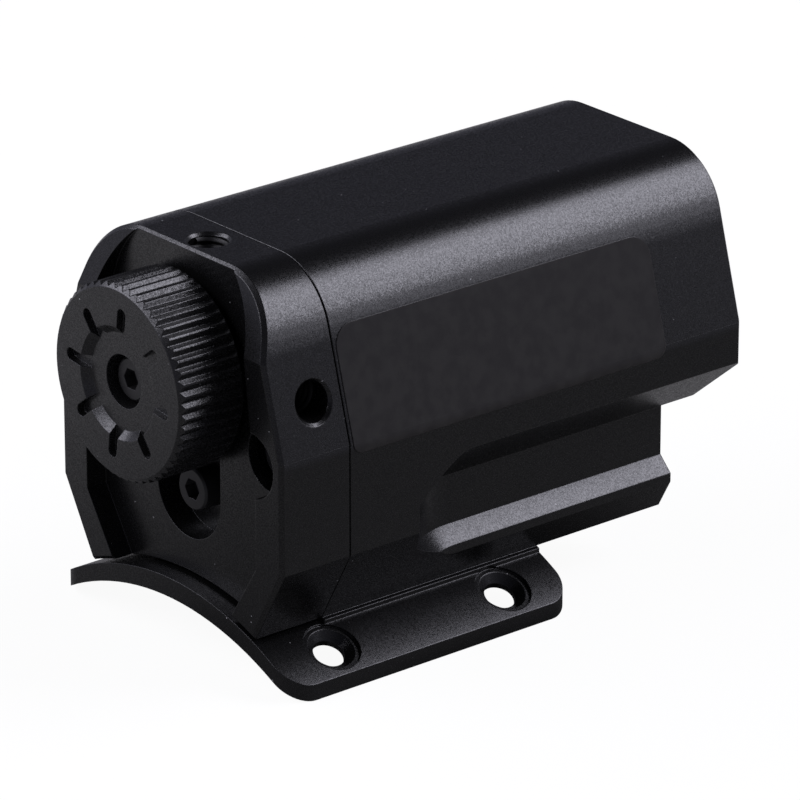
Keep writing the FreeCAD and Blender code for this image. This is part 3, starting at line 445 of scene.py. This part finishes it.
def board(name, colour):
    """A circuit board, resin or gel in a slightly cloudy colour."""
    finish = Finish(name, IOR=1.5)
    cloud = finish.noise(finish.place(), 1.5, 3.0)
    darker = tuple((1 - CLOUD_SHARE) * part for part in colour[:3]) + (1.0,)
    finish.paint(
        Base_Color=finish.blend(cloud, darker, colour),
        Roughness=cloud.spread(0.35, 0.45),
    )
    return finish.material


def coated_glass(name):
    """The front lens: clear glass with a faint violet coating."""
    finish = Finish(name, Transmission_Weight=1.0, IOR=1.52, Roughness=0.02)
    cloud = finish.noise(finish.place(), 0.3, 2.0)
    finish.paint(Base_Color=finish.blend(cloud, *VIOLET_COATING))
    return finish.material


def aim(thing, target, azimuth, elevation, distance):
    """Sets a camera or a light at its distance from a target, and turns it to face that."""
    turn, rise = math.radians(azimuth), math.radians(elevation)
    flat = math.cos(rise)
    back = Vector((math.sin(turn) * flat, -math.cos(turn) * flat, math.sin(rise)))
    thing.location = target + back * distance
    thing.rotation_mode = "QUATERNION"
    thing.rotation_quaternion = (-back).to_track_quat("-Z", "Y")
    bpy.context.scene.collection.objects.link(thing)


def make_camera():
    data = bpy.data.cameras.new("camera")
    data.lens = CAMERA_LENS
    data.sensor_width = CAMERA_SENSOR
    data.clip_start = 0.01
    data.clip_end = 20
    camera = bpy.data.objects.new("camera", data)
    aim(camera, CAMERA_TARGET, CAMERA_AZIMUTH, CAMERA_ELEVATION, CAMERA_DISTANCE)
    bpy.context.scene.camera = camera


def make_softbox(name, azimuth, elevation, distance, size, power):
    """A soft rectangular light that faces the object."""
    data = bpy.data.lights.new(name, "AREA")
    data.shape = "RECTANGLE"
    data.size, data.size_y = size
    data.energy = power
    data.color = LIGHT_TINT
    aim(bpy.data.objects.new(name, data), LIGHT_TARGET, azimuth, elevation, distance)


def make_floor():
    """A white floor that the camera sees, with a dimmer glow in gloss, least under the object."""
    floor = bmesh_object("studio_floor", floor_mesh)
    finish = Finish("studio_white", Roughness=0.9, Base_Color=grey(0.8))
    seen, glossy = finish.ray("Camera"), finish.ray("Glossy")
    strength = seen * FLOOR_SEEN + glossy * floor_glow(finish)
    tint = finish.blend(seen, FLOOR_TINT, grey(1.0))
    light = finish.add("ShaderNodeEmission", {}, {"Color": tint, "Strength": strength})
    finish.overlay(seen * FLOOR_SEEN_SHARE + glossy, light)
    floor.data.materials.append(finish.material)


def floor_glow(finish):
    """The floor's glow in gloss: stronger past the object, dim under it and beside the knob."""
    place = finish.place()
    way = finish.vector("DOT_PRODUCT", {0: place, 1: GLOW_WAY}, "Value")
    beyond = way.between(GLOW_START, GLOW_END, FLOOR_GLOW_NEAR, FLOOR_GLOW_FAR)
    oval = finish.vector("MULTIPLY", {0: place, 1: UNDER_OVAL})
    under = finish.vector("LENGTH", {0: oval}, "Value")
    shade = finish.vector("DISTANCE", {0: place, 1: SHADE_CENTRE}, "Value")
    lit = beyond * under.between(UNDER_INNER, UNDER_OUTER, UNDER_DIM)
    return lit * shade.between(SHADE_INNER, SHADE_OUTER, SHADE_DIM)


def make_sky():
    """A white background for the camera, and for the rest a dim room, palest near the floor."""
    world = bpy.data.worlds.new("studio")
    nodes = Nodes(world)
    way = nodes.add("ShaderNodeTexCoord", {}, {}, "Generated")
    behind = nodes.part_of(way, 0) + nodes.part_of(way, 1)
    room = nodes.part_of(way, 2).between(*SKY_HEIGHTS, SKY_LOW, SKY_HIGH)
    room = room + behind.between(*BEHIND_REACH, SKY_BEHIND, 0.0)
    seen = nodes.ray("Camera")
    background = nodes.tree.nodes["Background"]
    nodes.join(seen + (1 - seen) * room, background.inputs["Strength"])
    nodes.join(nodes.blend(seen, SKY_TINT, grey(1.0)), background.inputs["Color"])
    bpy.context.scene.world = world


def make_studio():
    make_floor()
    make_sky()
    bpy.context.scene.view_settings.view_transform = "Standard"
    for softbox in SOFTBOXES:
        make_softbox(*softbox)


def bmesh_object(name, build, *given):
    """A mesh object that a function fills."""
    mesh = bmesh.new()
    build(mesh, *given)
    data = bpy.data.meshes.new(name)
    mesh.to_mesh(data)
    mesh.free()
    made = bpy.data.objects.new(name, data)
    bpy.context.scene.collection.objects.link(made)
    return made


def floor_mesh(mesh):
    bmesh.ops.create_grid(mesh, x_segments=1, y_segments=1, size=FLOOR_SIZE / 2)


def label_mesh(mesh):
    """A thin film with round corners, laid on the lean side and lapped over its lower edge."""
    corner = Vector((HALF_WIDTH, BLOCK_LOW.y + LABEL_REAR, SHOULDER_Z))
    far, lap, rise = LABEL_LENGTH, LABEL_LAP, LABEL_TOP - LABEL_CORNER
    # Each corner: its centre along and up the film, its radius and the quarter turn it starts at
    turns = (
        (far - lap, 0, lap, 3), (far - LABEL_CORNER, rise, LABEL_CORNER, 0),
        (LABEL_CORNER, rise, LABEL_CORNER, 1), (lap, 0, lap, 2),
    )
    base, outer = [], []
    for along, up, radius, quarter in turns:
        for step in range(CORNER_STEPS + 1):
            angle = math.pi / 2 * (quarter + step / CORNER_STEPS)
            # Rounded, so that a point on the fold has a height of exactly 0
            height = round(up + radius * math.sin(angle), 6)
            way, out = (SIDE_UP, SIDE_OUT) if height > 0 else (UPRIGHT, RIGHT)
            if height == 0:
                out = FOLD_OUT
            point = corner + Vector((0, along + radius * math.cos(angle), 0)) + way * height
            base.append(mesh.verts.new(point * MM))
            outer.append(mesh.verts.new((point + out * LABEL_THICKNESS) * MM))
    first, last = CORNER_STEPS, len(base) - CORNER_STEPS
    for verts in (base, outer):
        mesh.faces.new(verts[first:last])
        mesh.faces.new(verts[last - 1:] + verts[:first + 1])
    for n, vert in enumerate(base):
        after = (n + 1) % len(base)
        mesh.faces.new((vert, base[after], outer[after], outer[n]))
    bmesh.ops.recalc_face_normals(mesh, faces=mesh.faces)


def thread_mesh(mesh, mouth, inward, depth):
    """The crests of a tapped thread, running inward from a hole's mouth."""
    turn = inward.to_track_quat("Z", "Y")
    half = THREAD_PITCH / 2
    outline = (
        (THREAD_RADIUS, -half), (THREAD_CREST, -half / 4),
        (THREAD_CREST, half / 4), (THREAD_RADIUS, half),
    )
    count = int(depth / THREAD_PITCH * THREAD_STEPS)
    rows = []
    for step in range(count + 1):
        angle = math.tau * step / THREAD_STEPS
        rise = half + THREAD_PITCH * step / THREAD_STEPS
        around = Vector((math.cos(angle), math.sin(angle), 0))
        points = [around * radius + Vector((0, 0, rise + along)) for radius, along in outline]
        rows.append([mesh.verts.new((mouth + turn @ point) * MM) for point in points])
    for first, second in zip(rows, rows[1:]):
        for n in range(len(outline) - 1):
            mesh.faces.new((first[n], first[n + 1], second[n + 1], second[n]))
    bmesh.ops.recalc_face_normals(mesh, faces=mesh.faces)


def make_label():
    label = bmesh_object("side_label", label_mesh)
    finish = Finish("label_film", IOR=1.45)
    place = finish.place()
    grain = finish.noise(place, 0.7, 4.0)
    finish.paint(
        Base_Color=finish.blend(grain.between(*LABEL_MOTTLE), *LABEL_BLACK),
        Roughness=grain.spread(0.36, 0.42),
        Normal=finish.relief(shoulder_ease(finish, place), finish.broken_edges(place)),
    )
    label.data.materials.append(finish.material)
    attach(label, MAIN)


def make_threads():
    material = soft_black("cut_thread", level=0.004, roughness=0.5)
    side_x = HALF_WIDTH - (AXIS_Z - SHOULDER_Z) * math.tan(SIDE_LEAN)
    top_mouth = Vector((0, SET_SCREW_Y, HOUSING_TOP - TOP_THREAD_IN))
    side_mouth = Vector((side_x - SIDE_THREAD_IN, SET_SCREW_Y, AXIS_Z))
    holes = (
        ("top_hole_thread", top_mouth, Vector((0, 0, -1)),
         HOUSING_TOP - SET_SCREW_TOP - TOP_THREAD_SHORT),
        ("side_hole_thread", side_mouth, Vector((-1, 0, 0)),
         side_x - SET_SCREW_TOP + AXIS_Z - SIDE_THREAD_SHORT),
    )
    for name, mouth, inward, depth in holes:
        thread = bmesh_object(name, thread_mesh, mouth, inward, depth)
        for face in thread.data.polygons:
            face.use_smooth = True
        thread.data.materials.append(material)
        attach(thread, MAIN)


def dress_nodes():
    """Gives each CAD node its own finish."""
    anodise = blasted_anodise("black_anodise", shape=housing_shape, underside_shade=painted_underside_shade)
    knob = blasted_anodise("knob_anodise", level=0.010, turned_face=True)
    screws = machined_steel("satin_steel")
    dark_screws = black_steel("blackened_steel")
    rubber = soft_black("black_rubber", level=0.02, roughness=0.6)
    plastic = soft_black("moulded_black", level=0.03, roughness=0.4)
    bearing = brass("bearing_brass")
    bare = machined_steel("bare_aluminium", level=0.7, roughness=0.35)
    finishes = {
        "housing": anodise, "rear_block": anodise, "lens_ring": anodise, "focus_knob": knob,
        "block_screws": dark_screws, "recess_screw": dark_screws, "knob_screw": dark_screws,
        "bush_set_screws": dark_screws, "board_screws": screws, "guide_pin": screws,
        "spindle": screws, "retaining_clip": screws, "spindle_bush": bearing,
        "contact_pins": bearing, "led_carriage": bare, "block_gasket": rubber,
        "spindle_seal": rubber, "lens_seal": rubber, "front_lens": coated_glass("coated_glass"),
        "driver_chip": plastic, "driver_coil": plastic, "contact_block": plastic,
        "led_board": board("white_board", BOARD_WHITE),
        "driver_board": board("green_board", BOARD_GREEN),
        "led_emitter": board("emitter_resin", RESIN_YELLOW),
        "thermal_pad": board("thermal_gel", GEL_GREY),
    }
    for node, material in finishes.items():
        thing = NODES[node]
        thing.data.materials.clear()
        thing.data.materials.append(material)


make_camera()
make_studio()
dress_nodes()
make_threads()
make_label()
